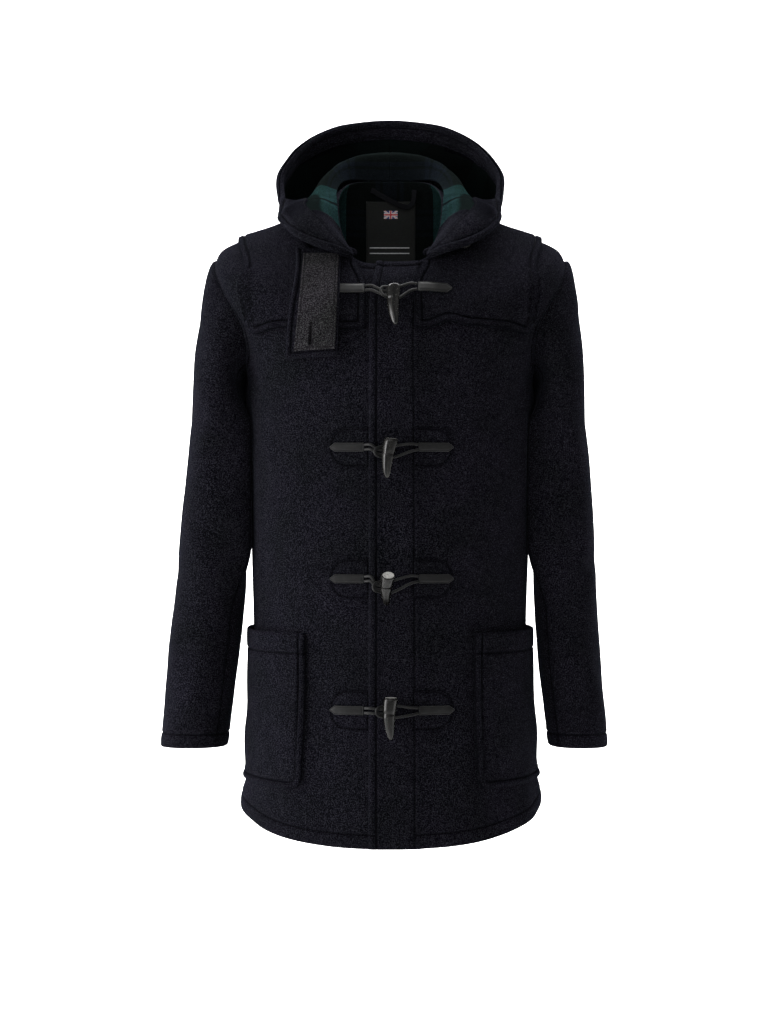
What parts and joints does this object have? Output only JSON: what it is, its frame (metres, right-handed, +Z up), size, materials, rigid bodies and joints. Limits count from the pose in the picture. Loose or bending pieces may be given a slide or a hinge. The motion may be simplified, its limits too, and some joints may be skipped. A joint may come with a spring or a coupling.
{
  "type": "hooded duffle coat",
  "caption": "Men's dark navy wool duffle coat with lowered hood, shoulder yoke, patch pockets and leather and horn toggle fastenings, hollow as worn, hanging from the neck.",
  "frame": {"origin": "middle of the neck, at the height of the neck seam at the side of the neck, where the wearer's shoulders carry the coat", "axes": "+Z up along the body, the longest way; -Y the front with the toggles, so +Y the back and the shortest way; +X the wearer's left"},
  "size_m": [0.6, 0.3993, 0.9871],
  "materials": {
    "wool": "brushed melton nap, matt",
    "felt": "matt felt",
    "leather": "semi-matt",
    "horn": "polished horn",
    "satin": "satin weave",
    "tape": "woven tape",
    "button": "glossy"
  },
  "bodies": {
    "root": {"front_left": "wool", "front_right": "wool", "back": "wool", "sleeve_upper_left": "wool", "sleeve_upper_right": "wool", "sleeve_under_left": "wool", "sleeve_under_right": "wool", "yoke": "wool", "hood_left": "wool", "hood_right": "wool", "hood_facing": "wool", "throat_tab_wool": "wool", "pocket_left": "wool", "pocket_right": "wool", "patch_toggle_2": "wool", "patch_toggle_3": "wool", "patch_toggle_4": "wool", "patch_loop_2": "wool", "patch_loop_3": "wool", "patch_loop_4": "wool", "throat_tab_felt": "felt", "throat_button": "button", "label": "satin", "hanger_loop": "tape", "tab_toggle_1": "leather", "tab_loop_1": "leather", "toggle_cord_1": "leather", "loop_1": "leather", "toggle_1": "horn", "tab_toggle_2": "leather", "tab_loop_2": "leather", "toggle_cord_2": "leather", "loop_2": "leather", "toggle_2": "horn", "tab_toggle_3": "leather", "tab_loop_3": "leather", "toggle_cord_3": "leather", "loop_3": "leather", "toggle_3": "horn", "tab_toggle_4": "leather", "tab_loop_4": "leather", "toggle_cord_4": "leather", "loop_4": "leather", "toggle_4": "horn"}
  },
  "joints": []
}
